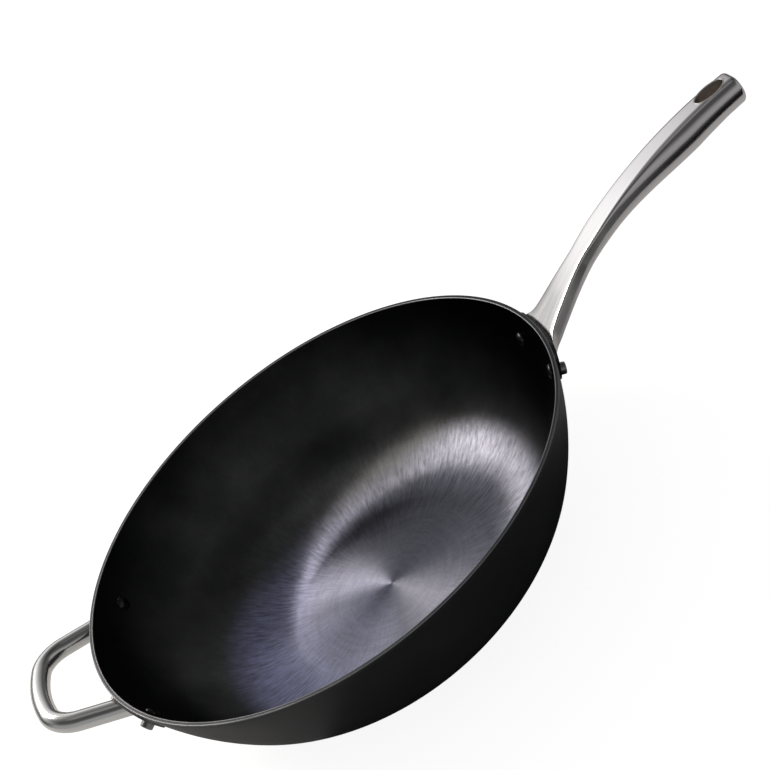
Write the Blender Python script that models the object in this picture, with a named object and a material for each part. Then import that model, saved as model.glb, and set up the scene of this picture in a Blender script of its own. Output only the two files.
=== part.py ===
"""Cast iron wok with a riveted long handle and a riveted helper handle.

Metres, +Z up. The origin is the centre of the flat underside. The long handle
points along +X, the helper handle along -X.
"""

import math

import bmesh
import bpy
from mathutils import Matrix, Vector

# Gap kept between touching pieces
CLEARANCE = 0.0003

# Bowl: flat base, knuckle arc, wall arc
RIM_RADIUS = 0.160
BOWL_HEIGHT = 0.090
BASE_RADIUS = 0.067
KNUCKLE_TURN = math.radians(57.0)
RIM_LEAN = math.radians(13.8)
FLOOR_THICKNESS = 0.0034
RIM_THICKNESS = 0.0026
RIM_CHAMFER = 0.0005
BOWL_STEPS = 96

# Rivets: domed head inside the bowl, cylindrical head outside
RIVET_DROP = 0.0187
SHANK_RADIUS = 0.0025
DOME_RADIUS = 0.0047
DOME_HEIGHT = 0.0020
HEAD_RADIUS = 0.0037
HEAD_HEIGHT = 0.0034
HEAD_CHAMFER = 0.0004
LONG_RIVET_SPACING = 0.047
HELPER_RIVET_SPACING = 0.1146

# Sheet pieces that carry the handles on the wall
SHEET_THICKNESS = 0.0022
BRACKET_WIDTH = 0.059
BRACKET_TOP_DROP = 0.0028
BRACKET_DEPTH = 0.0225
BRACKET_CORNER = 0.0080
EAR_OUTBOARD = 0.0056
EAR_INBOARD = 0.0055
EAR_HEIGHT = 0.0150
EAR_CORNER = 0.0056
SHEET_FACET = 0.0035

# Long handle: a straight root, then one arc, measured along its top line
HANDLE_LENGTH = 0.1790
ROOT_DROP = 0.0032
ROOT_SLOPE = math.radians(32.6)
ROOT_LENGTH = 0.0200
BEND_RADIUS = 0.299

# Half width of the handle's flat top, from the flared foot to the tip
FOOT_HALF_WIDTH = 0.0220
FOOT_FILLET = 0.0030
NECK_HALF_WIDTH = 0.0156
NECK_TAPER = 1.25
WAIST_AT = 0.0460
WAIST_HALF_WIDTH = 0.0081
THROAT_AT = 0.0670
THROAT_HALF_WIDTH = 0.0088
TIP_HALF_WIDTH = 0.0056
EDGE_ROUNDING = 0.0009
EDGE_RATIO = 0.97
FLARE_CROWDING = 1.3

# Depth of the handle's widest line below the flat, and of its belly below that
FOOT_SIDE_DEPTH = 0.0052
FOOT_BELLY_DEPTH = 0.0068
WAIST_SIDE_DEPTH = 0.0052
WAIST_BELLY_DEPTH = 0.0068
THROAT_SIDE_DEPTH = 0.0044
THROAT_BELLY_DEPTH = 0.0082

# Round grip of the handle
GRIP_START = 0.0580
GRIP_FULL = 0.1400
GRIP_RADIUS = 0.0113
GRIP_SIDE_DEPTH = 0.0091
TIP_RADIUS = 0.0103
END_ROUNDING = 0.0030
SHELL_THICKNESS = 0.0016
CAVITY_START = 0.0680
END_WALL = 0.0030

# Hanging hole and the tube that lines it
HOLE_FROM_END = 0.0155
HOLE_HALF_LENGTH = 0.0097
HOLE_HALF_WIDTH = 0.0060
LINER_WALL = 0.0008

# Helper handle: one round bar bent to a loop that rises away from the wall
BAR_RADIUS = 0.00585
LEG_DROP = 0.0108
LEG_SPACING = 0.0825
LEG_REACH = 0.0306
CORNER_SPACING = 0.0683
CORNER_RADIUS = 0.0214
BAR_BOW = 0.0063
LOOP_SLOPE_RATIO = 0.28
LEG_RUN_IN = 0.0150

# Lengths of the bars that cut the rivet holes and the hanging hole
RIVET_HOLE_CUT = 0.0200
HANG_HOLE_CUT = 0.0340
CUT_HEADROOM = 0.0120

WORLD_UP = Vector((0.0, 0.0, 1.0))
SHARP_ANGLE = math.radians(50.0)


def clear_scene():
    for obj in list(bpy.data.objects):
        bpy.data.objects.remove(obj, do_unlink=True)


def make_material(name, color, roughness, metallic):
    material = bpy.data.materials.new(name)
    material.use_nodes = True
    shader = material.node_tree.nodes["Principled BSDF"]
    shader.inputs["Base Color"].default_value = (*color, 1.0)
    shader.inputs["Roughness"].default_value = roughness
    shader.inputs["Metallic"].default_value = metallic
    return material


def add_object(name, mesh, material=None, parent=None):
    obj = bpy.data.objects.new(name, mesh)
    bpy.context.scene.collection.objects.link(obj)
    if material is not None:
        mesh.materials.append(material)
    if parent is not None:
        obj.parent = parent
    return obj


def mark_as_guide(obj):
    obj.hide_render = True
    obj.display_type = "WIRE"


def cut(obj, tool, operation="DIFFERENCE"):
    modifier = obj.modifiers.new(operation.title() + " " + tool.name, "BOOLEAN")
    modifier.operation = operation
    modifier.solver = "EXACT"
    modifier.object = tool


def smooth(value):
    """Ease from 0 to 1 with level ends."""
    t = min(max(value, 0.0), 1.0)
    return t * t * (3.0 - 2.0 * t)


def between(start, end, share):
    return start + (end - start) * share


# Wall of the bowl: two arcs that meet tangent, told by their turn from level

def wall_radii():
    """Radii of the knuckle arc and the wall arc that reach from base to rim."""
    knuckle_end = KNUCKLE_TURN
    wall_end = math.pi / 2 - RIM_LEAN
    a = math.sin(knuckle_end)
    b = math.sin(wall_end) - math.sin(knuckle_end)
    c = 1.0 - math.cos(knuckle_end)
    d = math.cos(knuckle_end) - math.cos(wall_end)
    span = RIM_RADIUS - BASE_RADIUS
    determinant = a * d - b * c
    knuckle = (span * d - b * BOWL_HEIGHT) / determinant
    wall = (a * BOWL_HEIGHT - c * span) / determinant
    return knuckle, wall


KNUCKLE_RADIUS, WALL_RADIUS = wall_radii()


def wall_point(turn, outward=0.0):
    """Radius and height of the outer surface, moved outward along its normal."""
    lower = min(turn, KNUCKLE_TURN)
    radius = BASE_RADIUS + KNUCKLE_RADIUS * math.sin(lower)
    height = KNUCKLE_RADIUS * (1.0 - math.cos(lower))
    if turn > KNUCKLE_TURN:
        radius += WALL_RADIUS * (math.sin(turn) - math.sin(KNUCKLE_TURN))
        height += WALL_RADIUS * (math.cos(KNUCKLE_TURN) - math.cos(turn))
    return radius + outward * math.sin(turn), height - outward * math.cos(turn)


def turn_at_height(height):
    """Turn of the outer surface at a height."""
    knuckle_top = KNUCKLE_RADIUS * (1.0 - math.cos(KNUCKLE_TURN))
    if height < knuckle_top:
        return math.acos(1.0 - height / KNUCKLE_RADIUS)
    return math.acos(math.cos(KNUCKLE_TURN) - (height - knuckle_top) / WALL_RADIUS)


def wall_thickness(turn):
    return between(FLOOR_THICKNESS, RIM_THICKNESS, turn / (math.pi / 2 - RIM_LEAN))


def wall_turns(top_turn, knuckle_parts=12, wall_parts=6):
    """Turns from the base to top_turn, with a row where the two arcs meet."""
    turns = [KNUCKLE_TURN * i / knuckle_parts for i in range(knuckle_parts + 1)]
    step = (top_turn - KNUCKLE_TURN) / wall_parts
    return turns + [KNUCKLE_TURN + step * i for i in range(1, wall_parts + 1)]


def turned_object(name, profile, steps, material=None, parent=None):
    """A profile in the XZ plane, turned about Z."""
    mesh = bpy.data.meshes.new(name)
    points = [(x, 0.0, z) for x, z in profile]
    mesh.from_pydata(points, [(i, i + 1) for i in range(len(points) - 1)], [])
    obj = add_object(name, mesh, material, parent)
    screw = obj.modifiers.new("Turn", "SCREW")
    screw.angle = 2.0 * math.pi
    screw.steps = steps
    screw.render_steps = steps
    screw.use_merge_vertices = True
    screw.merge_threshold = 0.00001
    screw.use_smooth_shade = True
    return obj


def make_bowl(material, parent):
    """One casting, turned on the inside and on the rim."""
    edge_turn = turn_at_height(BOWL_HEIGHT - RIM_CHAMFER)
    outer = [wall_point(turn) for turn in wall_turns(edge_turn)]
    inner_lift = RIM_THICKNESS * math.cos(edge_turn)
    inner_turn = turn_at_height(BOWL_HEIGHT - RIM_CHAMFER - inner_lift)
    inner = [wall_point(turn, -wall_thickness(turn)) for turn in wall_turns(inner_turn)]
    rim_inside = inner[-1][0] + RIM_CHAMFER
    rim_outside = RIM_RADIUS - RIM_CHAMFER
    profile = [(0.0, FLOOR_THICKNESS)] + inner
    profile += [(rim_inside, BOWL_HEIGHT), (rim_outside, BOWL_HEIGHT)]
    profile += list(reversed(outer)) + [(0.0, 0.0)]
    return turned_object("wok_bowl", profile, BOWL_STEPS, material, parent)


def make_wall_form():
    """Solid whose side is the seat of the handles, outside the sheet pieces."""
    seat = SHEET_THICKNESS + 2.0 * CLEARANCE
    top_turn = turn_at_height(BOWL_HEIGHT)
    side = [wall_point(turn, seat) for turn in wall_turns(top_turn)]
    headroom = BOWL_HEIGHT + CUT_HEADROOM
    profile = [(0.0, headroom), (side[-1][0], headroom)]
    profile += list(reversed(side)) + [(0.0, side[0][1])]
    form = turned_object("wall_form", profile, 2 * BOWL_STEPS)
    mark_as_guide(form)
    return form


# Places on the wall

def wall_frame(azimuth, height):
    """Matrix on the outer surface, with local Z along the outward normal."""
    turn = turn_at_height(height)
    radius, level = wall_point(turn)
    around = Vector((math.cos(azimuth), math.sin(azimuth), 0.0))
    normal = around * math.sin(turn) - WORLD_UP * math.cos(turn)
    along = WORLD_UP.cross(around)
    rise = normal.cross(along)
    frame = Matrix((along, rise, normal)).transposed().to_4x4()
    frame.translation = around * radius + WORLD_UP * level
    return frame


def azimuth_of(offset, height):
    """Angle round the bowl at which the outer surface is offset sideways."""
    radius = wall_point(turn_at_height(height))[0]
    return math.asin(offset / radius)


RIVET_HEIGHT = BOWL_HEIGHT - RIVET_DROP
LONG_RIVET_AZIMUTH = azimuth_of(LONG_RIVET_SPACING / 2, RIVET_HEIGHT)
HELPER_RIVET_AZIMUTH = azimuth_of(HELPER_RIVET_SPACING / 2, RIVET_HEIGHT)

RIVETS = {
    "long_handle_rivet_left": LONG_RIVET_AZIMUTH,
    "long_handle_rivet_right": -LONG_RIVET_AZIMUTH,
    "helper_rivet_left": math.pi - HELPER_RIVET_AZIMUTH,
    "helper_rivet_right": math.pi + HELPER_RIVET_AZIMUTH,
}


def make_rivet_holes():
    """Four bars that cut the rivet holes through the wall and the sheets."""
    shape = bmesh.new()
    for azimuth in RIVETS.values():
        bmesh.ops.create_cone(
            shape, cap_ends=True, segments=20, depth=RIVET_HOLE_CUT,
            radius1=SHANK_RADIUS + CLEARANCE, radius2=SHANK_RADIUS + CLEARANCE,
            matrix=wall_frame(azimuth, RIVET_HEIGHT))
    mesh = bpy.data.meshes.new("rivet_holes")
    shape.to_mesh(mesh)
    shape.free()
    holes = add_object("rivet_holes", mesh)
    mark_as_guide(holes)
    return holes


def make_rivet(name, azimuth, material, parent):
    """Shank through sheet and wall, a dome inside and a head outside."""
    inside = wall_thickness(turn_at_height(RIVET_HEIGHT)) + CLEARANCE
    outside = SHEET_THICKNESS + 2.0 * CLEARANCE
    head_top = outside + HEAD_HEIGHT
    profile = [
        (0.0, head_top),
        (HEAD_RADIUS - HEAD_CHAMFER, head_top),
        (HEAD_RADIUS, head_top - HEAD_CHAMFER),
        (HEAD_RADIUS, outside),
        (SHANK_RADIUS, outside),
        (SHANK_RADIUS, -inside),
    ]
    parts = 5
    for i in range(parts + 1):
        angle = math.pi / 2 * i / parts
        profile.append((DOME_RADIUS * math.cos(angle), -inside - DOME_HEIGHT * math.sin(angle)))
    profile[-1] = (0.0, -inside - DOME_HEIGHT)
    rivet = turned_object(name, profile, 20, material, parent)
    rivet.matrix_world = wall_frame(azimuth, RIVET_HEIGHT)
    return rivet


# Sheet pieces pressed to the curve of the wall

def make_wall_sheet(name, middle, reaches, level, height, slant, corner, material, parent):
    """A sheet on the wall with round corners.

    It reaches to both sides of the azimuth middle, where its centre is at level,
    and climbs by slant for each metre towards larger azimuths.
    """
    half_height = height / 2
    radius = wall_point(turn_at_height(level))[0]
    width = sum(reaches)
    corner_parts = 6
    plain = width - 2.0 * corner
    plain_parts = max(4, round(plain / SHEET_FACET))
    columns = []
    for i in range(corner_parts + 1):
        angle = math.pi / 2 * i / corner_parts
        columns.append((corner * (1.0 - math.cos(angle)), corner * (1.0 - math.sin(angle))))
    for i in range(1, plain_parts):
        columns.append((corner + plain * i / plain_parts, 0.0))
    columns += [(width - run, drop) for run, drop in reversed(columns[:corner_parts + 1])]

    rows = 7
    shape = bmesh.new()
    faces = []
    for outward in (CLEARANCE, CLEARANCE + SHEET_THICKNESS):
        grid = []
        for run, drop in columns:
            offset = run - reaches[0]
            azimuth = middle + offset / radius
            centre = level + slant * offset
            bottom, top = centre - half_height + drop, centre + half_height - drop
            line = []
            for j in range(rows):
                turn = turn_at_height(between(bottom, top, j / (rows - 1)))
                out, up = wall_point(turn, outward)
                place = (out * math.cos(azimuth), out * math.sin(azimuth), up)
                line.append(shape.verts.new(place))
            grid.append(line)
        faces.append(grid)
    inner, outer = faces
    last = rows - 1
    for a in range(len(columns) - 1):
        b = a + 1
        for j in range(last):
            shape.faces.new((outer[a][j], outer[b][j], outer[b][j + 1], outer[a][j + 1]))
            shape.faces.new((inner[a][j + 1], inner[b][j + 1], inner[b][j], inner[a][j]))
        shape.faces.new((inner[a][0], inner[b][0], outer[b][0], outer[a][0]))
        shape.faces.new((outer[a][last], outer[b][last], inner[b][last], inner[a][last]))
    for j in range(last):
        shape.faces.new((inner[0][j], outer[0][j], outer[0][j + 1], inner[0][j + 1]))
        shape.faces.new((outer[-1][j], inner[-1][j], inner[-1][j + 1], outer[-1][j + 1]))
    mesh = bpy.data.meshes.new(name)
    shape.to_mesh(mesh)
    shape.free()
    mesh.shade_smooth()
    mesh.set_sharp_from_angle(angle=SHARP_ANGLE)
    return add_object(name, mesh, material, parent)


def make_bracket(material, parent):
    level = BOWL_HEIGHT - BRACKET_TOP_DROP - BRACKET_DEPTH / 2
    half = BRACKET_WIDTH / 2
    return make_wall_sheet("handle_bracket", 0.0, (half, half), level, BRACKET_DEPTH, 0.0,
                           BRACKET_CORNER, material, parent)


def make_ear(name, side, material, parent):
    """Ear of the helper handle: it climbs from its rivet to behind its leg."""
    span = (HELPER_RIVET_SPACING - LEG_SPACING) / 2
    climb = (RIVET_DROP - LEG_DROP) / span
    reaches = (span + EAR_INBOARD, EAR_OUTBOARD)
    if side < 0:
        reaches = (EAR_OUTBOARD, span + EAR_INBOARD)
    return make_wall_sheet(name, math.pi + side * HELPER_RIVET_AZIMUTH, reaches, RIVET_HEIGHT,
                           EAR_HEIGHT, -side * climb, EAR_CORNER, material, parent)


def loft(name, rings, material=None, parent=None):
    """A closed body through rings of points, with flat ends."""
    shape = bmesh.new()
    rows = [[shape.verts.new(point) for point in ring] for ring in rings]
    count = len(rings[0])
    for a, b in zip(rows, rows[1:]):
        for i in range(count):
            j = (i + 1) % count
            shape.faces.new((a[i], a[j], b[j], b[i]))
    shape.faces.new(list(reversed(rows[0])))
    shape.faces.new(rows[-1])
    bmesh.ops.recalc_face_normals(shape, faces=shape.faces)
    mesh = bpy.data.meshes.new(name)
    shape.to_mesh(mesh)
    shape.free()
    mesh.shade_smooth()
    mesh.set_sharp_from_angle(angle=SHARP_ANGLE)
    return add_object(name, mesh, material, parent)


# Long handle

def seat_radius(height):
    """Radius of the handles' seat, outside the sheet pieces."""
    return wall_point(turn_at_height(height), SHEET_THICKNESS + 2.0 * CLEARANCE)[0]


def top_line(run):
    """Point on the handle's top line and the slope there."""
    root_height = BOWL_HEIGHT - ROOT_DROP
    straight = min(run, ROOT_LENGTH)
    x = seat_radius(root_height) + straight * math.cos(ROOT_SLOPE)
    z = root_height + straight * math.sin(ROOT_SLOPE)
    slope = ROOT_SLOPE
    if run > ROOT_LENGTH:
        slope = ROOT_SLOPE - (run - ROOT_LENGTH) / BEND_RADIUS
        x += BEND_RADIUS * (math.sin(ROOT_SLOPE) - math.sin(slope))
        z += BEND_RADIUS * (math.cos(slope) - math.cos(ROOT_SLOPE))
    return Vector((x, 0.0, z)), slope


def flat_half_width(run):
    """Half width of the flat top: it flares to the foot and tapers to the tip."""
    if run < WAIST_AT:
        neck = between(WAIST_HALF_WIDTH, NECK_HALF_WIDTH, (1.0 - run / WAIST_AT) ** NECK_TAPER)
        return neck + (FOOT_HALF_WIDTH - NECK_HALF_WIDTH) * math.exp(-run / FOOT_FILLET)
    if run < THROAT_AT:
        share = smooth((run - WAIST_AT) / (THROAT_AT - WAIST_AT))
        return between(WAIST_HALF_WIDTH, THROAT_HALF_WIDTH, share)
    share = (run - THROAT_AT) / (HANDLE_LENGTH - THROAT_AT)
    return between(THROAT_HALF_WIDTH, TIP_HALF_WIDTH, share)


def section_sizes(run):
    """Half width of the flat, half width of the body, side depth, belly depth."""
    flat = flat_half_width(run)
    to_waist = min(run / WAIST_AT, 1.0)
    to_throat = smooth((run - WAIST_AT) / (THROAT_AT - WAIST_AT))
    to_grip = smooth((run - GRIP_START) / (GRIP_FULL - GRIP_START))
    to_tip = max(run - GRIP_FULL, 0.0) / (HANDLE_LENGTH - GRIP_FULL)
    side = between(FOOT_SIDE_DEPTH, WAIST_SIDE_DEPTH, to_waist)
    side = between(side, THROAT_SIDE_DEPTH, to_throat)
    belly = between(FOOT_BELLY_DEPTH, WAIST_BELLY_DEPTH, to_waist)
    belly = between(belly, THROAT_BELLY_DEPTH, to_throat)
    grip = between(GRIP_RADIUS, TIP_RADIUS, to_tip)
    body = between(flat / EDGE_RATIO, grip, to_grip)
    side = between(side, GRIP_SIDE_DEPTH * grip / GRIP_RADIUS, to_grip)
    belly = between(belly, grip, to_grip)
    return flat, body, side, belly


def section_ring(run, inset=0.0, shoulder_parts=5, belly_parts=14, flat_parts=4):
    """Points of the handle's section: flat top, shoulders, round belly."""
    flat, body, side, belly = section_sizes(run)
    flat *= (body - inset) / body
    body -= inset
    side -= inset
    belly -= inset
    start = math.asin(flat / body)
    rise = side / math.cos(start)

    def shoulder(angle):
        return body * math.sin(angle), rise * math.cos(angle) - side

    slip = EDGE_ROUNDING / math.hypot(body * math.cos(start), rise * math.sin(start))
    first = Vector((flat - EDGE_ROUNDING, 0.0))
    corner = Vector((flat, 0.0))
    last = Vector(shoulder(start + slip))
    half = []
    edge_parts = 3
    for i in range(edge_parts):
        t = i / edge_parts
        half.append(first.lerp(corner, t).lerp(corner.lerp(last, t), t))
    for i in range(shoulder_parts):
        half.append(shoulder(between(start + slip, math.pi / 2, i / shoulder_parts)))
    outline = list(half)
    for i in range(belly_parts + 1):
        angle = math.pi * i / belly_parts
        outline.append((body * math.cos(angle), -side - belly * math.sin(angle)))
    outline += [(-y, n) for y, n in reversed(half)]
    for i in range(1, flat_parts):
        outline.append(((flat - EDGE_ROUNDING) * (2.0 * i / flat_parts - 1.0), 0.0))
    top, slope = top_line(run)
    normal = Vector((-math.sin(slope), 0.0, math.cos(slope)))
    return [top + Vector((0.0, y, 0.0)) + normal * (n - inset) for y, n in outline]


def shifted(ring, run, distance):
    """The ring moved along the handle's direction at run."""
    slope = top_line(run)[1]
    step = Vector((math.cos(slope), 0.0, math.sin(slope))) * distance
    return [point + step for point in ring]


def handle_rings():
    """Rings from inside the wall form to the rounded end."""
    run_in = 2.0 * (FOOT_BELLY_DEPTH + FOOT_SIDE_DEPTH)
    rings = [shifted(section_ring(0.0), 0.0, -run_in)]
    flare_parts = 14
    rings += [section_ring(WAIST_AT * (i / flare_parts) ** FLARE_CROWDING)
              for i in range(flare_parts)]
    body_parts = 24
    body_end = HANDLE_LENGTH - END_ROUNDING
    rings += [section_ring(between(WAIST_AT, body_end, i / body_parts)) for i in range(body_parts)]
    end_parts = 5
    for i in range(end_parts + 1):
        angle = math.pi / 2 * i / end_parts
        inset = END_ROUNDING * (1.0 - math.cos(angle))
        rings.append(section_ring(body_end + END_ROUNDING * math.sin(angle), inset))
    return rings


def hole_place():
    """Matrix at the hanging hole, on the top line, local Z square to the top face."""
    place, slope = top_line(HANDLE_LENGTH - HOLE_FROM_END)
    frame = Matrix.Rotation(-slope, 4, "Y")
    frame.translation = place
    return frame


def make_oval_bar(name, half_length, half_width, low, high, parts=32):
    """An upright bar of oval section at the hanging hole."""
    frame = hole_place()
    rings = []
    for level in (low, high):
        ring = []
        for i in range(parts):
            angle = 2.0 * math.pi * i / parts
            local = (half_length * math.cos(angle), half_width * math.sin(angle), level)
            ring.append(frame @ Vector(local))
        rings.append(ring)
    bar = loft(name, rings)
    mark_as_guide(bar)
    return bar


def make_long_handle(wall_form, material, parent):
    """Hollow handle: solid foot and waist, thin-walled grip."""
    handle = loft("long_handle", handle_rings(), material, parent)
    cavity_end = HANDLE_LENGTH - END_WALL
    parts = 16
    runs = [between(CAVITY_START, cavity_end, i / parts) for i in range(parts + 1)]
    inside = [section_ring(run, SHELL_THICKNESS, 4, 10, 2) for run in runs]
    cavity = loft("handle_cavity", inside)
    mark_as_guide(cavity)
    grow = LINER_WALL + CLEARANCE
    hole = make_oval_bar("liner_hole", HOLE_HALF_LENGTH + grow, HOLE_HALF_WIDTH + grow,
                         -HANG_HOLE_CUT, CUT_HEADROOM)
    cut(handle, wall_form)
    cut(handle, cavity)
    cut(handle, hole)
    return handle


def make_liner(material, parent):
    """Tube in the hanging hole, its ends dressed flush with the handle."""
    liner = make_oval_bar("hang_hole_liner", HOLE_HALF_LENGTH + LINER_WALL,
                          HOLE_HALF_WIDTH + LINER_WALL, -HANG_HOLE_CUT, CUT_HEADROOM)
    liner.hide_render = False
    liner.display_type = "TEXTURED"
    liner.data.materials.append(material)
    liner.parent = parent
    form = loft("handle_form", handle_rings())
    mark_as_guide(form)
    bore = make_oval_bar("hang_hole", HOLE_HALF_LENGTH, HOLE_HALF_WIDTH,
                         -2.0 * HANG_HOLE_CUT, 2.0 * CUT_HEADROOM)
    cut(liner, form, "INTERSECT")
    cut(liner, bore)
    return liner


# Helper handle

def helper_path():
    """Centre line of the loop: distance from the leg roots, and sideways place."""
    half_corner = CORNER_SPACING / 2
    bow_radius = (half_corner ** 2 + BAR_BOW ** 2) / (2.0 * BAR_BOW)
    bow_centre = Vector((LEG_REACH + BAR_BOW - bow_radius, 0.0))
    root = Vector((0.0, LEG_SPACING / 2))
    leg = (Vector((LEG_REACH, half_corner)) - root).normalized()
    inward = Vector((leg.y, -leg.x))

    # Centre of the corner arc, which touches the leg and the inside of the bow
    base = root + inward * CORNER_RADIUS - bow_centre
    along = base.dot(leg)
    reach = math.sqrt(along ** 2 - base.length_squared + (bow_radius - CORNER_RADIUS) ** 2) - along
    end_of_leg = root + leg * reach
    centre = end_of_leg + inward * CORNER_RADIUS
    arm = end_of_leg - centre
    sweep = arm.angle_signed(centre - bow_centre)

    half = []
    leg_parts = 5
    for i in range(leg_parts):
        half.append((root - leg * LEG_RUN_IN).lerp(end_of_leg, i / leg_parts))
    corner_parts = 12
    for i in range(corner_parts + 1):
        half.append(centre + Matrix.Rotation(-sweep * i / corner_parts, 2) @ arm)
    bow_end = math.atan2(centre.y, centre.x - bow_centre.x)
    bow_parts = 4
    for i in range(1, bow_parts + 1):
        angle = bow_end * (1.0 - i / bow_parts)
        half.append(bow_centre + Vector((math.cos(angle), math.sin(angle))) * bow_radius)
    return half + [Vector((point.x, -point.y)) for point in reversed(half[:-1])]


def make_helper_loop(wall_form, material, parent):
    """A round bar swept along the loop, its ends seated on the ears."""
    leg_height = BOWL_HEIGHT - LEG_DROP
    out = Vector((-1.0, 0.0, LOOP_SLOPE_RATIO)).normalized()
    up = Vector((LOOP_SLOPE_RATIO, 0.0, 1.0)).normalized()
    stretch = math.sqrt(1.0 + LOOP_SLOPE_RATIO ** 2)
    start = Vector((-RIM_RADIUS, 0.0, leg_height))
    path = [start + out * point.x * stretch + Vector((0.0, point.y, 0.0)) for point in helper_path()]
    sides = 20
    rings = []
    for i, point in enumerate(path):
        before = path[max(i - 1, 0)]
        after = path[min(i + 1, len(path) - 1)]
        across = (after - before).normalized().cross(up)
        ring = []
        for k in range(sides):
            angle = 2.0 * math.pi * k / sides
            ring.append(point + (across * math.cos(angle) + up * math.sin(angle)) * BAR_RADIUS)
        rings.append(ring)
    loop = loft("helper_loop", rings, material, parent)
    cut(loop, wall_form)
    return loop


def build():
    clear_scene()
    iron = make_material("seasoned_cast_iron", (0.018, 0.018, 0.020), 0.45, 0.6)
    handle_steel = make_material("polished_steel", (0.62, 0.61, 0.60), 0.18, 1.0)
    loop_steel = make_material("polished_bar_steel", (0.66, 0.65, 0.64), 0.14, 1.0)
    sheet_steel = make_material("satin_sheet_steel", (0.34, 0.34, 0.35), 0.40, 1.0)
    rivet_steel = make_material("rivet_steel", (0.42, 0.42, 0.43), 0.35, 1.0)
    liner_steel = make_material("liner_steel", (0.38, 0.37, 0.36), 0.30, 1.0)

    root = bpy.data.objects.new("wok", None)
    bpy.context.scene.collection.objects.link(root)

    rivet_holes = make_rivet_holes()
    wall_form = make_wall_form()

    bowl = make_bowl(iron, root)
    cut(bowl, rivet_holes)

    bracket = make_bracket(sheet_steel, root)
    cut(bracket, rivet_holes)
    make_long_handle(wall_form, handle_steel, root)
    make_liner(liner_steel, root)

    for name, side in (("helper_ear_left", -1), ("helper_ear_right", 1)):
        ear = make_ear(name, side, sheet_steel, root)
        cut(ear, rivet_holes)
    make_helper_loop(wall_form, loop_steel, root)

    for name, azimuth in RIVETS.items():
        make_rivet(name, azimuth, rivet_steel, root)


build()
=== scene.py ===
import math

import bmesh
import bpy
from mathutils import Matrix, Vector


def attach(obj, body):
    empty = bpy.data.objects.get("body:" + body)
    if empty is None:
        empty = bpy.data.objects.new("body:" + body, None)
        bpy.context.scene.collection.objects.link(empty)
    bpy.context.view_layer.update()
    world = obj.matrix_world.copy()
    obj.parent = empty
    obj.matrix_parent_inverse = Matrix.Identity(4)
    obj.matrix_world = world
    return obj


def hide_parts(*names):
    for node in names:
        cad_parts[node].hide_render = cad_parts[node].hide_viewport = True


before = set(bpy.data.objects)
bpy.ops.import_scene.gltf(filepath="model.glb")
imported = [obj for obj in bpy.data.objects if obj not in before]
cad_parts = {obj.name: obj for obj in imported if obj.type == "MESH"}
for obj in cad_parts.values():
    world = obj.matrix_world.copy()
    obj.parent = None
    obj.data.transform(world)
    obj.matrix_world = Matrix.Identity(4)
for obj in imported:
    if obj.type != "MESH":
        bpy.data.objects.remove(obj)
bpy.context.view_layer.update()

scene = bpy.context.scene
scene.view_settings.view_transform = "Standard"


# Camera. It stands in front of the wok and above the rim, with a long lens, and
# it is rolled so that the long handle points to the upper right.

CAMERA_PLACE = Vector((0.0884, -0.76684, 0.56877))
CAMERA_RIGHT = Vector((0.79867, -0.310229, -0.515639))
CAMERA_UP = Vector((0.601762, 0.415917, 0.681833))
CAMERA_BACK = Vector((0.002939, -0.854852, 0.518864))
SENSOR_WIDTH = 36.0
FOCAL_LENGTH = 73.31
SIDEWAYS_SHIFT = -0.0455
NEAREST_SEEN = 0.01

camera_data = bpy.data.cameras.new("camera")
camera_data.sensor_width = SENSOR_WIDTH
camera_data.lens = FOCAL_LENGTH
camera_data.shift_x = SIDEWAYS_SHIFT
camera_data.clip_start = NEAREST_SEEN
camera = bpy.data.objects.new("camera", camera_data)
scene.collection.objects.link(camera)
camera.matrix_world = Matrix((CAMERA_RIGHT, CAMERA_UP, CAMERA_BACK)).transposed().to_4x4()
camera.matrix_world.translation = CAMERA_PLACE
scene.camera = camera


# Bowl. One iron casting: flat base, round knuckle and flared wall. It is turned
# on the inside, bare on the rim, left as cast outside, and seasoned black. The
# rim's rounded edges are pale: partly bare iron, partly a painted highlight.

RIM_RADIUS = 0.160
BOWL_HEIGHT = 0.090
BASE_RADIUS = 0.067
KNUCKLE_TURN = math.radians(57.0)
RIM_LEAN = math.radians(13.8)
FLOOR_THICKNESS = 0.0034
RIM_THICKNESS = 0.0026
RIM_ROUNDING = 0.0005

# The rim's pale inner edge, bare from use and painted with a highlight, starts a
# hair outward of the wall's last point. The oiled part of the rim lies between
# these shares of its flat width.
RIM_STEP = 0.00005
DARK_RIM_FROM = 0.12
DARK_RIM_TO = 0.90

# The knuckle's arc starts on the base. The wall's arc goes on from it, tangent, and
# ends at the rim with the rim's lean.
KNUCKLE_RADIUS = 0.084245608
WALL_RADIUS = 0.168692904


def wall_point(turn, outward=0.0):
    """Radius and height of the outer surface, moved outward along its normal."""
    lower = min(turn, KNUCKLE_TURN)
    radius = BASE_RADIUS + KNUCKLE_RADIUS * math.sin(lower)
    height = KNUCKLE_RADIUS * (1.0 - math.cos(lower))
    if turn > KNUCKLE_TURN:
        radius += WALL_RADIUS * (math.sin(turn) - math.sin(KNUCKLE_TURN))
        height += WALL_RADIUS * (math.cos(KNUCKLE_TURN) - math.cos(turn))
    return radius + outward * math.sin(turn), height - outward * math.cos(turn)


def turn_at_height(height):
    """Turn of the outer surface at a height."""
    knuckle_top = KNUCKLE_RADIUS * (1.0 - math.cos(KNUCKLE_TURN))
    if height < knuckle_top:
        return math.acos(1.0 - height / KNUCKLE_RADIUS)
    return math.acos(math.cos(KNUCKLE_TURN) - (height - knuckle_top) / WALL_RADIUS)


def wall_thickness(turn):
    """Thickness at a turn: it falls evenly from the floor to the rim."""
    share = turn / (math.pi / 2 - RIM_LEAN)
    return FLOOR_THICKNESS + (RIM_THICKNESS - FLOOR_THICKNESS) * share


SHARP_EDGE = math.radians(40.0)


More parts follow.
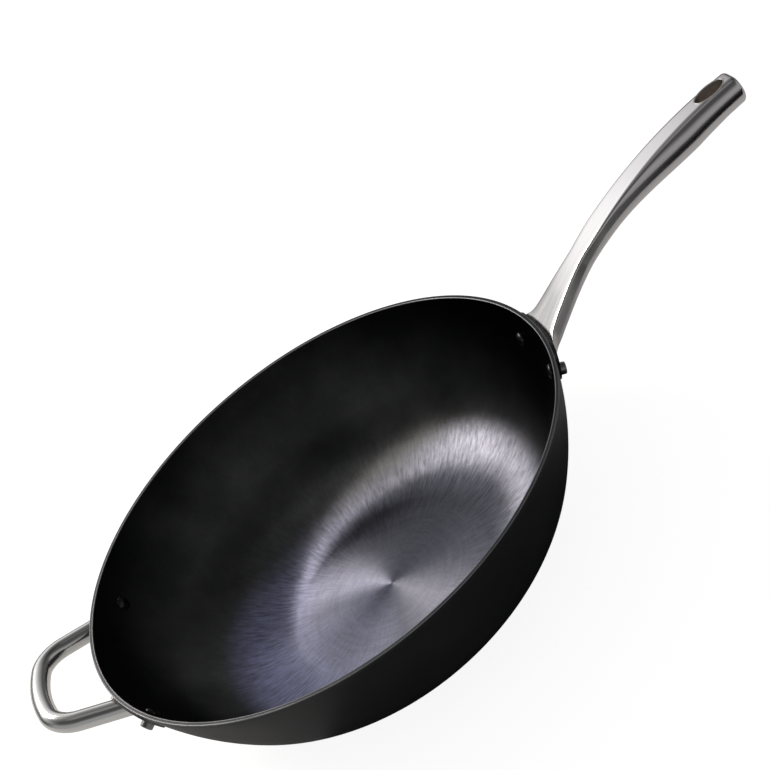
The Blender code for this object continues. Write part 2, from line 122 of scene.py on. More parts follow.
def add_piece(name, mesh, *finishes):
    """A mesh object in the scene, smooth apart from its sharp edges."""
    mesh.shade_smooth()
    mesh.set_sharp_from_angle(angle=SHARP_EDGE)
    for finish in finishes:
        mesh.materials.append(finish)
    piece = bpy.data.objects.new(name, mesh)
    scene.collection.objects.link(piece)
    return piece


def mesh_from(name, shape):
    mesh = bpy.data.meshes.new(name)
    shape.to_mesh(mesh)
    shape.free()
    return mesh


def turned_mesh(name, profile, parts):
    """Closed mesh of a profile turned about Z. Its ends lie on the axis.

    Each profile point is radius, height and the finish of the band that follows.
    """
    shape = bmesh.new()
    rows = []
    for radius, height, _ in profile:
        if radius == 0.0:
            rows.append([shape.verts.new((0.0, 0.0, height))] * parts)
            continue
        row = []
        for i in range(parts):
            angle = 2.0 * math.pi * i / parts
            place = (radius * math.cos(angle), radius * math.sin(angle), height)
            row.append(shape.verts.new(place))
        rows.append(row)
    for (_, _, finish), a, b in zip(profile, rows, rows[1:]):
        for i in range(parts):
            j = (i + 1) % parts
            corners = list(dict.fromkeys((a[i], b[i], b[j], a[j])))
            shape.faces.new(corners).material_index = finish
    bmesh.ops.recalc_face_normals(shape, faces=shape.faces)
    return mesh_from(name, shape)


def add_node(tree, kind, inputs=None, **settings):
    """A shader node. Each input is a value, or a socket to link."""
    made = tree.nodes.new("ShaderNode" + kind)
    for key, value in settings.items():
        setattr(made, key, value)
    for key, value in (inputs or {}).items():
        if isinstance(value, bpy.types.NodeSocket):
            tree.links.new(value, made.inputs[key])
        else:
            made.inputs[key].default_value = value
    return made


def new_finish(name, roughness, metallic, specular=0.5, anisotropy=0.0):
    """Material, its node tree and its shader."""
    material = bpy.data.materials.new(name)
    material.use_nodes = True
    shader = material.node_tree.nodes["Principled BSDF"]
    shader.inputs["Roughness"].default_value = roughness
    shader.inputs["Metallic"].default_value = metallic
    shader.inputs["Specular IOR Level"].default_value = specular
    shader.inputs["Anisotropic"].default_value = anisotropy
    return material, material.node_tree, shader


def grade(tree, value, low, high, start, end):
    """Value carried from the range low..high to start..end, and held there."""
    return add_node(tree, "MapRange", {
        "Value": value, "From Min": low, "From Max": high, "To Min": start, "To Max": end,
    }).outputs["Result"]


def soft_grade(tree, value, low, high, start, end):
    """The same, with soft ends."""
    return add_node(tree, "MapRange", {
        "Value": value, "From Min": low, "From Max": high, "To Min": start, "To Max": end,
    }, interpolation_type="SMOOTHSTEP").outputs["Result"]


def levels(tree, value, stops):
    """Value carried along straight lines between stops, each a place and a level."""
    ramp = add_node(tree, "ValToRGB", {"Fac": value})
    elements = ramp.color_ramp.elements
    while len(elements) < len(stops):
        elements.new(0.5)
    for element, (place, level) in zip(elements, stops):
        element.position = place
        element.color = (level, level, level, 1.0)
    return ramp.outputs["Color"]


def noise(tree, place, scale=1.0, detail=3.0, roughness=0.5):
    return add_node(tree, "TexNoise", {
        "Vector": place, "Scale": scale, "Detail": detail, "Roughness": roughness,
    }).outputs["Fac"]


def blend(tree, share, first, second):
    """Colour between two others, each of them three numbers or a socket."""
    first, second = (color if isinstance(color, bpy.types.NodeSocket) else (*color, 1.0)
                     for color in (first, second))
    return add_node(tree, "Mix", {"Factor": share, 6: first, 7: second},
                    data_type="RGBA").outputs[2]


def bump(tree, shader, height, depth, strength=0.5):
    """Small relief, its depth in metres. It lies on any relief made before."""
    inputs = {"Height": height, "Distance": depth, "Strength": strength}
    socket = shader.inputs["Normal"]
    if socket.is_linked:
        inputs["Normal"] = socket.links[0].from_socket
    tree.links.new(add_node(tree, "Bump", inputs).outputs["Normal"], socket)


def combined(tree, operation, first, others):
    """Numbers joined one after the other by one operation."""
    for other in others:
        first = add_node(tree, "Math", {0: first, 1: other}, operation=operation).outputs[0]
    return first


def added(tree, first, *others):
    return combined(tree, "ADD", first, others)


def multiplied(tree, first, *others):
    return combined(tree, "MULTIPLY", first, others)


def larger(tree, first, *others):
    return combined(tree, "MAXIMUM", first, others)


def scaled(tree, vector, factor):
    """Colour or direction made brighter or longer by a factor."""
    return add_node(tree, "VectorMath", {0: vector, "Scale": factor},
                    operation="SCALE").outputs[0]


def turned_places(tree):
    """Place, radius, height, direction round the bowl, and reach up its inside."""
    place = add_node(tree, "TexCoord").outputs["Object"]
    height = add_node(tree, "SeparateXYZ", {0: place}).outputs["Z"]
    flat = add_node(tree, "VectorMath", {0: place, 1: (1.0, 1.0, 0.0)},
                    operation="MULTIPLY").outputs[0]
    radius = add_node(tree, "VectorMath", {0: flat}, operation="LENGTH").outputs["Value"]
    around = add_node(tree, "VectorMath", {0: flat}, operation="NORMALIZE").outputs[0]
    return place, radius, height, around, added(tree, radius, height)


def polar(tree, around, reach, turns, rows):
    """Place for a texture with so many waves a radian and so many a metre outward."""
    lift = add_node(tree, "CombineXYZ", {"Z": multiplied(tree, reach, rows)}).outputs[0]
    return add_node(tree, "VectorMath", {0: around, 1: (turns, turns, turns), 2: lift},
                    operation="MULTIPLY_ADD").outputs[0]


def towards(tree, around, azimuth):
    """Cosine of the turn round the bowl from an azimuth in degrees."""
    angle = math.radians(azimuth)
    return add_node(tree, "VectorMath", {0: around, 1: (math.cos(angle), math.sin(angle), 0.0)},
                    operation="DOT_PRODUCT").outputs["Value"]


def swing(tree, texture, amount):
    """Factor that swings about 1 with a texture."""
    signed = grade(tree, texture, 0.33, 0.67, -1.0, 1.0)
    return add_node(tree, "Math", {0: signed, 1: amount, 2: 1.0},
                    operation="MULTIPLY_ADD").outputs[0]


SKIN_DARK = (0.0152, 0.0155, 0.0163)
SKIN_PALE = (0.0238, 0.0243, 0.0255)
OILED_IRON = (0.036, 0.037, 0.038)
DRY_IRON = (0.072, 0.073, 0.075)
# The bright iron is tinted blue as a painted bluish reflection; the second colour, bluer, is laid
# on one side.
BRIGHT_IRON = (0.318, 0.320, 0.392)
BLUE_REFLECTION_IRON = (0.295, 0.300, 0.465)

# Azimuths, in degrees, at which the inside differs most from the rest of it.
OIL_LOW_SHADED_BACK = 97.0
OIL_LOW_LEFT = 190.0
PALER_BACK = 112.0
BLUE_REFLECTION_SIDE = 170.0
DIM_SIDE = 345.0
BRIGHT_REFLECTION_SIDE = 208.0
DULL_FRONT = 295.0

# Heights between which the bright iron goes over into the burnt-on oil, and the
# reach, up the inside from the middle, over which the marks of turning fade.
OIL_LINE = (0.0135, 0.0255)
TURNING_FADES = (0.055, 0.085)


def burnished_share(tree, around, height):
    """1 on the bright floor and knuckle, 0 on the oiled wall; the oil comes lower at the back as
    painted shade.
    """
    # Painted shade: the dark oil reaches lower on the back wall, where the rim shades it from the
    # lamp.
    shade_creep_back = soft_grade(tree, towards(tree, around, OIL_LOW_SHADED_BACK), 0.40, 1.00, 0.0, 0.0125)
    creep_left = soft_grade(tree, towards(tree, around, OIL_LOW_LEFT), 0.55, 1.00, 0.0, 0.0055)
    raised = added(tree, height, added(tree, shade_creep_back, creep_left))
    return soft_grade(tree, raised, *OIL_LINE, 1.0, 0.0)


def oiled_color(tree, around, height, clouds):
    """Black oil film, greyer in patches, paler low on the wall and towards the back, darker
    towards the front.
    """
    thin = grade(tree, clouds, 0.35, 0.65, 0.0, 1.0)
    film = blend(tree, thin, OILED_IRON, DRY_IRON)
    paler_back = soft_grade(tree, towards(tree, around, PALER_BACK), 0.0, 1.0, 0.70, 1.30)
    paler_low = levels(tree, height, ((0.018, 2.4), (0.032, 1.6), (0.045, 1.0), (0.060, 0.6),
                                     (0.075, 0.42)))
    return scaled(tree, film, multiplied(tree, paler_back, paler_low))


def burnished_color(tree, around, radius):
    """Bright iron, tinted as a painted bluish reflection, more on one side and away from the
    middle.
    """
    # Painted reflection: a bluish tint that stands in for bluish light from the room.
    bluish_reflection_side = grade(tree, towards(tree, around, BLUE_REFLECTION_SIDE), -0.3, 0.95, 0.0, 1.0)
    bluish_share = multiplied(tree, bluish_reflection_side, grade(tree, radius, 0.05, 0.09, 0.3, 1.0))
    return blend(tree, bluish_share, BRIGHT_IRON, BLUE_REFLECTION_IRON)


def side_tone(tree, around, radius):
    """Factor: lower on one side of the knuckle, higher on another side of the floor as a painted
    brighter reflection.
    """
    dim_side = soft_grade(tree, towards(tree, around, DIM_SIDE), 0.72, 0.92, 0.0, -0.40)
    dim_share = multiplied(tree, dim_side, grade(tree, radius, 0.060, 0.085, 0.0, 1.0))
    # Painted reflection: the floor is made brighter towards this azimuth, where it reflects more
    # of the bright room.
    bright_reflection_side = soft_grade(tree, towards(tree, around, BRIGHT_REFLECTION_SIDE), 0.60, 0.93, 0.0, 0.80)
    painted_reflection_share = multiplied(tree, bright_reflection_side, grade(tree, radius, 0.008, 0.035, 0.0, 1.0))
    return added(tree, dim_share, painted_reflection_share, 1.0)


def scratch_tangent(tree, place, radius):
    """Direction round the bowl, square to the short strokes, with strays near the middle."""
    tangent = add_node(tree, "Tangent", direction_type="RADIAL", axis="Z").outputs[0]
    stray = add_node(tree, "TexNoise", {"Vector": place, "Scale": 5200.0,
                                        "Detail": 1.0}).outputs["Color"]
    stray = add_node(tree, "VectorMath", {0: stray, 1: (0.5, 0.5, 0.5)},
                     operation="SUBTRACT").outputs[0]
    stray = scaled(tree, stray, grade(tree, radius, 0.050, 0.085, 2.0, 0.3))
    return add_node(tree, "VectorMath", {0: tangent, 1: stray}, operation="ADD").outputs[0]


def make_inside_finish():
    """Turned iron, polished towards the floor, with short strokes across the turn."""
    material, tree, shader = new_finish("turned_iron", 0.40, 1.0, anisotropy=0.95)
    place, radius, height, around, reach = turned_places(tree)
    strokes = noise(tree, polar(tree, around, reach, turns=52.0, rows=85.0),
                    detail=4.0, roughness=0.7)
    fine_strokes = noise(tree, polar(tree, around, reach, turns=210.0, rows=170.0), detail=2.0)
    arcs = noise(tree, polar(tree, around, reach, turns=16.0, rows=1100.0))
    rings = noise(tree, polar(tree, around, reach, turns=2.5, rows=420.0), detail=2.0)
    clouds = noise(tree, place, scale=16.0, detail=4.0)

    burnish = burnished_share(tree, around, height)
    color = blend(tree, burnish, oiled_color(tree, around, height, clouds),
                  burnished_color(tree, around, radius))
    contrast = levels(tree, reach, ((0.045, 0.10), (0.085, 0.38), (0.135, 0.38), (0.155, 0.07)))
    contrast = multiplied(tree, contrast, grade(tree, burnish, 0.0, 1.0, 0.35, 1.0))
    tone = multiplied(tree, side_tone(tree, around, radius),
                      swing(tree, strokes, contrast),
                      swing(tree, arcs, grade(tree, reach, *TURNING_FADES, 0.07, 0.02)),
                      swing(tree, rings, grade(tree, reach, *TURNING_FADES, 0.08, 0.0)),
                      swing(tree, clouds, 0.08),
                      grade(tree, radius, 0.052, 0.088, 0.88, 1.0),
                      grade(tree, towards(tree, around, DULL_FRONT), 0.75, 0.97, 1.0, 0.64))
    tree.links.new(scaled(tree, color, tone), shader.inputs["Base Color"])

    gloss = grade(tree, fine_strokes, 0.3, 0.7, 0.35, 0.45)
    swirl = grade(tree, radius, 0.045, 0.080, 0.05, 0.0)
    tree.links.new(added(tree, gloss, swirl), shader.inputs["Roughness"])
    tree.links.new(scratch_tangent(tree, place, radius), shader.inputs["Tangent"])
    bump(tree, shader, strokes, depth=0.00006)
    bump(tree, shader, fine_strokes, depth=0.00003)
    bump(tree, shader, arcs, depth=0.00003)
    return material


def make_outside_finish():
    """Iron as cast, seasoned black, with a fine sandy skin."""
    material, tree, shader = new_finish("cast_iron_skin", 0.5, 0.0, specular=0.3)
    place = add_node(tree, "TexCoord").outputs["Object"]
    clouds = noise(tree, place, scale=22.0, detail=4.0)
    sand = noise(tree, place, scale=900.0)
    tree.links.new(blend(tree, clouds, SKIN_DARK, SKIN_PALE), shader.inputs["Base Color"])
    tree.links.new(grade(tree, clouds, 0.3, 0.7, 0.44, 0.56), shader.inputs["Roughness"])
    bump(tree, shader, sand, depth=0.00006)
    return material


def make_rim_finish(name, dark, bright):
    """Turned iron of the rim, oiled, with marks that run round."""
    material, tree, shader = new_finish(name, 0.45, 1.0)
    place, _, _, around, reach = turned_places(tree)
    marks = noise(tree, polar(tree, around, reach, turns=4.0, rows=2500.0), detail=2.0)
    spots = noise(tree, place, scale=60.0, detail=4.0)
    tree.links.new(blend(tree, spots, dark, bright), shader.inputs["Base Color"])
    tree.links.new(grade(tree, marks, 0.3, 0.7, 0.36, 0.54), shader.inputs["Roughness"])
    bump(tree, shader, marks, depth=0.00002)
    return material


def make_bowl():
    """The profile goes from the middle of the floor over the rim to the underside."""
    inside, bare_lit_edge, rim, outside = 0, 1, 2, 3
    base_steps, wall_steps, corner_steps, round_parts = 12, 60, 5, 288
    low_edge = turn_at_height(BOWL_HEIGHT - RIM_ROUNDING)
    inner_edge = turn_at_height(BOWL_HEIGHT - RIM_ROUNDING - RIM_THICKNESS * math.cos(low_edge))
    profile = [(0.0, FLOOR_THICKNESS, inside)]
    profile += [(BASE_RADIUS * i / base_steps, FLOOR_THICKNESS, inside)
                for i in range(1, base_steps)]
    for i in range(wall_steps + 1):
        turn = inner_edge * i / wall_steps
        profile.append((*wall_point(turn, -wall_thickness(turn)), inside))
    inner_radius = profile[-1][0] + RIM_ROUNDING
    outer_radius = wall_point(low_edge)[0]
    for i in range(corner_steps + 1):
        angle = math.pi / 2 * i / corner_steps
        profile.append((inner_radius - RIM_ROUNDING * math.cos(angle) + RIM_STEP,
                        BOWL_HEIGHT - RIM_ROUNDING * (1.0 - math.sin(angle)), bare_lit_edge))
    flat_width = outer_radius - RIM_ROUNDING - inner_radius
    profile.append((inner_radius + flat_width * DARK_RIM_FROM, BOWL_HEIGHT, rim))
    profile.append((inner_radius + flat_width * DARK_RIM_TO, BOWL_HEIGHT, rim))
    for i in range(corner_steps + 1):
        angle = math.pi / 2 * i / corner_steps
        profile.append((outer_radius - RIM_ROUNDING * (1.0 - math.sin(angle)),
                        BOWL_HEIGHT - RIM_ROUNDING * (1.0 - math.cos(angle)), bare_lit_edge))
    profile[-1] = (*profile[-1][:2], outside)
    for i in range(1, wall_steps + 1):
        profile.append((*wall_point(low_edge * (1.0 - i / wall_steps)), outside))
    profile += [(BASE_RADIUS * i / base_steps, 0.0, outside)
                for i in range(base_steps - 1, 0, -1)]
    profile.append((0.0, 0.0, outside))
    mesh = turned_mesh("wok_bowl_casting", profile, round_parts)
    return add_piece("wok_bowl_casting", mesh, make_inside_finish(),
                     # Pale rounded edges of the rim: bare iron from use, and a painted highlight
                     # where the edges catch the light.
                     make_rim_finish("bare_and_highlit_rim_edge", dark=(0.178, 0.180, 0.194),
                                     bright=(0.300, 0.303, 0.325)),
                     make_rim_finish("oiled_rim", dark=(0.023, 0.024, 0.026),
                                     bright=(0.042, 0.043, 0.047)),
                     make_outside_finish())


bowl = make_bowl()
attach(bowl, "root")
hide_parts("wok_bowl")


# Bracket of the long handle. A strip of satin sheet steel, pressed to the curve
# of the wall under the handle's foot and riveted on; its edges are broken. Its
# near-black colour is painted dark reflection and shade.

SHEET_THICKNESS = 0.0022
CLEARANCE = 0.0003
BROKEN_EDGE = 0.0003


def make_sheet_finish(name, color):
    """Satin sheet steel: grain along the sheet, darker where it was pressed."""
    material, tree, shader = new_finish(name, 0.40, 1.0)
    place, _, _, around, reach = turned_places(tree)
    grain = noise(tree, polar(tree, around, reach, turns=30.0, rows=2200.0), detail=2.0)
    clouds = noise(tree, place, scale=120.0, detail=4.0)
    darker = [value * 0.6 for value in color]
    tree.links.new(blend(tree, clouds, darker, color), shader.inputs["Base Color"])
    tree.links.new(grade(tree, grain, 0.3, 0.7, 0.34, 0.50), shader.inputs["Roughness"])
    bump(tree, shader, grain, depth=0.00001, strength=0.6)
    return material


def dress_node(name, finish):
    """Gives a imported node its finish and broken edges."""
    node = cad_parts[name]
    for slot in node.material_slots:
        slot.material = finish
    bevel = node.modifiers.new("Broken edges", "BEVEL")
    bevel.width = BROKEN_EDGE
    bevel.segments = 3
    bevel.limit_method = "ANGLE"
    bevel.angle_limit = math.radians(50.0)
    bevel.harden_normals = False


# Painted dark reflection and shade: the bracket is coloured far darker than the ears' sheet.
dress_node("handle_bracket", make_sheet_finish("bracket_sheet_painted_dark", (0.10, 0.10, 0.103)))


# Long handle. Stainless steel, closed over its hollow: a flared foot on the
# bracket, a narrow neck, a round grip with a flat top. It is polished lengthwise
# and left duller on the sides of the foot.

HANDLE_LENGTH = 0.1790
ROOT_DROP = 0.00326
ROOT_SLOPE = math.radians(32.6)
ROOT_LENGTH = 0.0200
BEND_RADIUS = 0.299

FOOT_HALF_WIDTH = 0.0220
FOOT_FILLET = 0.0030
NECK_HALF_WIDTH = 0.0156
NECK_TAPER = 1.25
WAIST_AT = 0.0460
WAIST_HALF_WIDTH = 0.0081
THROAT_AT = 0.0670
THROAT_HALF_WIDTH = 0.0088
TIP_HALF_WIDTH = 0.0056
EDGE_ROUNDING = 0.0012
TIP_EDGE_ROUNDING = 0.0021
EDGE_RATIO = 0.97

NECK_SIDE_DEPTH = 0.0052
NECK_BELLY_DEPTH = 0.0068
THROAT_SIDE_DEPTH = 0.0044
THROAT_BELLY_DEPTH = 0.0082

GRIP_START = 0.0580
GRIP_FULL = 0.1400
GRIP_RADIUS = 0.0113
GRIP_SIDE_DEPTH = 0.0091
TIP_RADIUS = 0.0103
END_ROUNDING = 0.0030

SEAT = SHEET_THICKNESS + 2.0 * CLEARANCE

# A point's way back to the wall is looked for in this range, by halving it.
WAY_BACK = (-0.01, 0.06)
HALVINGS = 40


def ease(value):
    t = min(max(value, 0.0), 1.0)
    return t * t * (3.0 - 2.0 * t)


def between(start, end, share):
    return start + (end - start) * share


def off_wall(point):
    """Distance of a point outside the wall's outer face."""
    arc_radius = BASE_RADIUS + (KNUCKLE_RADIUS - WALL_RADIUS) * math.sin(KNUCKLE_TURN)
    arc_height = KNUCKLE_RADIUS + (WALL_RADIUS - KNUCKLE_RADIUS) * math.cos(KNUCKLE_TURN)
    out = math.hypot(point.x, point.y) - arc_radius
    return math.hypot(out, point.z - arc_height) - WALL_RADIUS


def run_back(point, direction, distance):
    """How far a point lies in front of its place at a distance off the wall."""
    low, high = WAY_BACK
    for _ in range(HALVINGS):
        middle = (low + high) / 2
        if off_wall(point + direction * middle) > distance:
            low = middle
        else:
            high = middle
    return (low + high) / 2


def top_line(run):
    """Point on the handle's top line and the slope there."""
    height = BOWL_HEIGHT - ROOT_DROP
    straight = min(run, ROOT_LENGTH)
    x = wall_point(turn_at_height(height), SEAT)[0] + straight * math.cos(ROOT_SLOPE)
    z = height + straight * math.sin(ROOT_SLOPE)
    slope = ROOT_SLOPE
    if run > ROOT_LENGTH:
        slope = ROOT_SLOPE - (run - ROOT_LENGTH) / BEND_RADIUS
        x += BEND_RADIUS * (math.sin(ROOT_SLOPE) - math.sin(slope))
        z += BEND_RADIUS * (math.cos(slope) - math.cos(ROOT_SLOPE))
    return Vector((x, 0.0, z)), slope


def neck_half_width(run):
    """Half width of the flat top, without the flare at the foot."""
    if run < WAIST_AT:
        return between(WAIST_HALF_WIDTH, NECK_HALF_WIDTH, (1.0 - run / WAIST_AT) ** NECK_TAPER)
    if run < THROAT_AT:
        share = ease((run - WAIST_AT) / (THROAT_AT - WAIST_AT))
        return between(WAIST_HALF_WIDTH, THROAT_HALF_WIDTH, share)
    share = (run - THROAT_AT) / (HANDLE_LENGTH - THROAT_AT)
    return between(THROAT_HALF_WIDTH, TIP_HALF_WIDTH, share)


def handle_section(run, inset=0.0):
    """Outline of the handle as pairs of sideways place and height over the flat."""
    flat = neck_half_width(run)
    to_throat = ease((run - WAIST_AT) / (THROAT_AT - WAIST_AT))
    to_grip = ease((run - GRIP_START) / (GRIP_FULL - GRIP_START))
    to_tip = max(run - GRIP_FULL, 0.0) / (HANDLE_LENGTH - GRIP_FULL)
    grip = between(GRIP_RADIUS, TIP_RADIUS, to_tip)
    body = between(flat / EDGE_RATIO, grip, to_grip)
    side = between(NECK_SIDE_DEPTH, THROAT_SIDE_DEPTH, to_throat)
    side = between(side, GRIP_SIDE_DEPTH * grip / GRIP_RADIUS, to_grip)
    belly = between(NECK_BELLY_DEPTH, THROAT_BELLY_DEPTH, to_throat)
    belly = between(belly, grip, to_grip)
    flat *= (body - inset) / body
    body, side, belly = body - inset, side - inset, belly - inset
    to_full = ease((run - WAIST_AT) / (GRIP_FULL - WAIST_AT))
    rounding = between(EDGE_ROUNDING, TIP_EDGE_ROUNDING, to_full)
    start = math.asin(flat / body)
    rise = side / math.cos(start)
    slip = rounding / math.hypot(body * math.cos(start), rise * math.sin(start))

    def shoulder(angle):
        return Vector((body * math.sin(angle), rise * math.cos(angle) - side))

    flat_parts, edge_parts, shoulder_parts, belly_parts = 6, 5, 9, 30
    first = Vector((flat - rounding, 0.0))
    corner = Vector((flat, 0.0))
    last = shoulder(start + slip)
    half = []
    for i in range(edge_parts):
        t = i / edge_parts
        half.append(first.lerp(corner, t).lerp(corner.lerp(last, t), t))
    for i in range(shoulder_parts):
        half.append(shoulder(between(start + slip, math.pi / 2, i / shoulder_parts)))
    outline = list(half)
    for i in range(belly_parts + 1):
        angle = math.pi * i / belly_parts
        outline.append(Vector((body * math.cos(angle), -side - belly * math.sin(angle))))
    outline += [Vector((-point.x, point.y)) for point in reversed(half)]
    for i in range(1, flat_parts):
        outline.append(Vector(((flat - rounding) * (2.0 * i / flat_parts - 1.0), 0.0)))
    return [point - Vector((0.0, inset)) for point in outline]


def place_section(outline, run):
    top, slope = top_line(run)
    normal = Vector((-math.sin(slope), 0.0, math.cos(slope)))
    return [top + Vector((0.0, point.x, 0.0)) + normal * point.y for point in outline]


def flared(outline, to_wall):
    """The outline spread sideways by how near each of its points is to the wall."""
    flare = (FOOT_HALF_WIDTH - NECK_HALF_WIDTH) / NECK_HALF_WIDTH
    return [Vector((point.x * (1.0 + flare * math.exp(-gap / FOOT_FILLET)), point.y))
            for point, gap in zip(outline, to_wall)]


def foot_rings():
    """Rings that start on the bracket and leave it along the root's slope.

    They stand closest together where the foot flares most.
    """
    foot_parts, flare_parts, crowding = 22, 26, 1.4
    back = Vector((-math.cos(ROOT_SLOPE), 0.0, -math.sin(ROOT_SLOPE)))
    root = place_section(handle_section(0.0), 0.0)
    reaches = [run_back(point, back, SEAT - CLEARANCE) for point in root]
    rings = []
    for i in range(foot_parts):
        share = 1.0 - (i / foot_parts) ** 2
        gaps = [reach * (1.0 - share) for reach in reaches]
        ring = place_section(flared(handle_section(0.0), gaps), 0.0)
        ring = [point + back * run_back(point, back, SEAT - CLEARANCE) * share for point in ring]
        rings.append((0.0, ring))
    for i in range(flare_parts):
        run = WAIST_AT * (i / flare_parts) ** crowding
        gaps = [reach + run for reach in reaches]
        rings.append((run, place_section(flared(handle_section(run), gaps), run)))
    return rings


def handle_rings():
    """All rings, from the bracket to the rounded end."""
    body_parts, end_parts = 60, 8
    rings = foot_rings()
    body_end = HANDLE_LENGTH - END_ROUNDING
    for i in range(body_parts):
        run = between(WAIST_AT, body_end, i / body_parts)
        rings.append((run, place_section(handle_section(run), run)))
    for i in range(end_parts + 1):
        angle = math.pi / 2 * i / end_parts
        run = body_end + END_ROUNDING * math.sin(angle)
        inset = END_ROUNDING * (1.0 - math.cos(angle))
        rings.append((run, place_section(handle_section(run, inset), run)))
    return rings


def swept_mesh(name, rings):
    """Closed mesh through rings. Its points keep how far along and round they lie."""
    shape = bmesh.new()
    course = shape.verts.layers.float_vector.new("course")
    count = len(rings[0][1])
    rows = []
    for run, ring in rings:
        row = []
        for i, point in enumerate(ring):
            vert = shape.verts.new(point)
            angle = 2.0 * math.pi * i / count
            vert[course] = (math.cos(angle), math.sin(angle), run)
            row.append(vert)
        rows.append(row)
    for a, b in zip(rows, rows[1:]):
        for i in range(count):
            j = (i + 1) % count
            shape.faces.new((a[i], a[j], b[j], b[i]))
    shape.faces.new(list(reversed(rows[0])))
    shape.faces.new(rows[-1])
    bmesh.ops.recalc_face_normals(shape, faces=shape.faces)
    return mesh_from(name, shape)


# Waves a metre along the lines of the polish, and the distances from the bowl's
# middle between which the foot's dull sides turn bright.
LINE_WAVES = 25.0
SATIN_FOOT = (0.174, 0.212)


def make_steel(name, color, roughness, lines, satin=0.0):
    """Polished steel: faint lines along the piece and a slightly uneven gloss.

    satin is how much duller the brushed sides of the long handle are at its foot.
    """
    material, tree, shader = new_finish(name, roughness, 1.0)
    place = add_node(tree, "TexCoord").outputs["Object"]
    course = add_node(tree, "Attribute", attribute_name="course").outputs["Vector"]
    along = add_node(tree, "VectorMath", {0: course, 1: (lines, lines, LINE_WAVES)},
                     operation="MULTIPLY").outputs[0]
    hair = noise(tree, along, roughness=0.6)
    clouds = noise(tree, place, scale=45.0, detail=4.0)
    tone = blend(tree, clouds, [value * 0.90 for value in color], color)
    streak = grade(tree, hair, 0.3, 0.7, 0.92, 1.03)
    tree.links.new(scaled(tree, tone, streak), shader.inputs["Base Color"])
    gloss = added(tree, grade(tree, hair, 0.3, 0.7, roughness - 0.03, roughness + 0.05),
                  grade(tree, clouds, 0.4, 0.7, 0.0, 0.04))
    if satin:
        outward = add_node(tree, "SeparateXYZ", {0: place}).outputs["X"]
        normal = add_node(tree, "TexCoord").outputs["Normal"]
        upright = add_node(tree, "SeparateXYZ", {0: normal}).outputs["Z"]
        at_foot = soft_grade(tree, outward, *SATIN_FOOT, satin, 0.0)
        on_sides = grade(tree, upright, 0.50, 0.75, 1.0, 0.0)
        gloss = added(tree, gloss, multiplied(tree, at_foot, on_sides))
    tree.links.new(gloss, shader.inputs["Roughness"])
    bump(tree, shader, hair, depth=0.000006)
    return material


HOLE_FROM_END = 0.0155
HOLE_HALF_LENGTH = 0.0097
HOLE_HALF_WIDTH = 0.0060
HOLE_PARTS = 96
LINER_WALL = 0.0008
LINER_GAP = 0.00004

# The tool that cuts the hole reaches from below the grip to above its flat.
TOOL_LEVELS = (-0.034, 0.012)


def hole_frame():
    """Matrix at the hanging hole, on the top line, local Z square to the flat."""
    place, slope = top_line(HANDLE_LENGTH - HOLE_FROM_END)
    matrix = Matrix.Rotation(-slope, 4, "Y")
    matrix.translation = place
    return matrix


def hole_outline(grow=0.0):
    """Oval of the hanging hole in the plane of the flat, grown all round."""
    points = []
    for i in range(HOLE_PARTS):
        angle = 2.0 * math.pi * i / HOLE_PARTS
        points.append(Vector(((HOLE_HALF_LENGTH + grow) * math.cos(angle),
                              (HOLE_HALF_WIDTH + grow) * math.sin(angle), 0.0)))
    return points


def make_long_handle():
    """The handle's shell, with the hanging hole cut out by an oval tool."""
    steel = make_steel("handle_steel", (0.762, 0.738, 0.745), roughness=0.15, lines=30.0,
                       satin=0.28)
    shell = swept_mesh("long_handle_shell", handle_rings())
    handle = add_piece("long_handle_shell", shell, steel)
    matrix = hole_frame()
    outline = hole_outline(LINER_WALL + LINER_GAP)
    rings = [(0.0, [matrix @ (point + Vector((0.0, 0.0, level))) for point in outline])
             for level in TOOL_LEVELS]
    tool = bpy.data.objects.new("hole_tool", swept_mesh("hole_tool", rings))
    scene.collection.objects.link(tool)
    drill = handle.modifiers.new("Hanging hole", "BOOLEAN")
    drill.operation = "DIFFERENCE"
    drill.solver = "EXACT"
    drill.object = tool
    graph = bpy.context.evaluated_depsgraph_get()
    drilled = bpy.data.meshes.new_from_object(handle.evaluated_get(graph))
    handle.modifiers.clear()
    handle.data = drilled
    bpy.data.objects.remove(tool, do_unlink=True)
    return handle


handle = make_long_handle()
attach(handle, "root")
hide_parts("long_handle")


# Liner of the hanging hole. An oval steel tube welded into the grip and dressed
# flush; its thin lip stays bright, and its inside is painted darker and brown as
# shade in the hole.

LIP_HEIGHT = 0.00035
UNDERSIDE_SHARE = 0.35


def belly_height(run, sideways):
    """Height of the handle's underside, negative as it is below the flat."""
    outline = handle_section(run)
    lowest = min(point.y for point in outline)
    lower = [point for point in outline if point.y < lowest * UNDERSIDE_SHARE]
    lower.sort(key=lambda point: point.x)
    for a, b in zip(lower, lower[1:]):
        if a.x <= sideways <= b.x:
            return between(a.y, b.y, (sideways - a.x) / max(b.x - a.x, 1e-9))
    return lowest


def make_liner_finish():
    """Steel that is bright where the mesh marks the lip, and painted darker brown elsewhere as
    shade in the bore.
    """
    material, tree, shader = new_finish("hole_liner_steel", 0.40, 0.85)
    place = add_node(tree, "TexCoord").outputs["Object"]
    clouds = noise(tree, place, scale=350.0, detail=4.0)
    lip = add_node(tree, "Attribute", attribute_name="lip").outputs["Fac"]
    # Painted shade: the bore is darker and brown.
    shaded_bore = blend(tree, clouds, (0.30, 0.26, 0.235), (0.50, 0.44, 0.40))
    bright = blend(tree, clouds, (0.66, 0.65, 0.64), (0.80, 0.79, 0.78))
    color = blend(tree, grade(tree, lip, 0.35, 0.65, 0.0, 1.0), shaded_bore, bright)
    tree.links.new(color, shader.inputs["Base Color"])
    tree.links.new(grade(tree, clouds, 0.3, 0.7, 0.26, 0.44), shader.inputs["Roughness"])
    bump(tree, shader, clouds, depth=0.00002)
    return material


